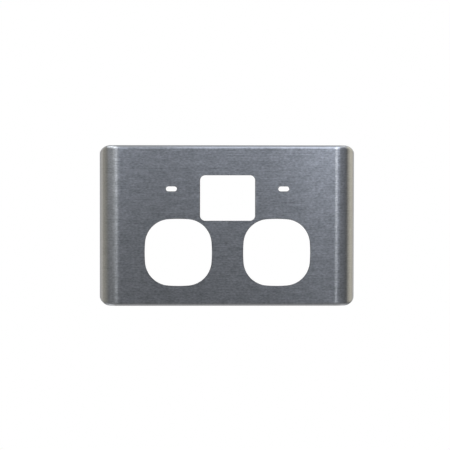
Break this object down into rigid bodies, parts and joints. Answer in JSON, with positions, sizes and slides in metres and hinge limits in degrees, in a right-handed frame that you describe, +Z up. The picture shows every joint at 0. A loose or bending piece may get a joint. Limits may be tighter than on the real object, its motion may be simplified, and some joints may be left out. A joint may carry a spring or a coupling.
{
  "type": "power point cover plate",
  "caption": "Pressed brushed-steel cover plate for a wall power point, with rolled ends, bowed-square socket openings, a module window and small slots.",
  "frame": {"origin": "middle of the rear rim, in the wall plane", "axes": "+X to the right and +Z up as seen on the wall, +Y into the wall, so the face looks along -Y"},
  "size_m": [0.118, 0.0104, 0.074],
  "materials": {
    "brushed_steel": "satin, brushed from end to end"
  },
  "bodies": {
    "root": {"cover_plate": "brushed_steel"}
  },
  "joints": []
}
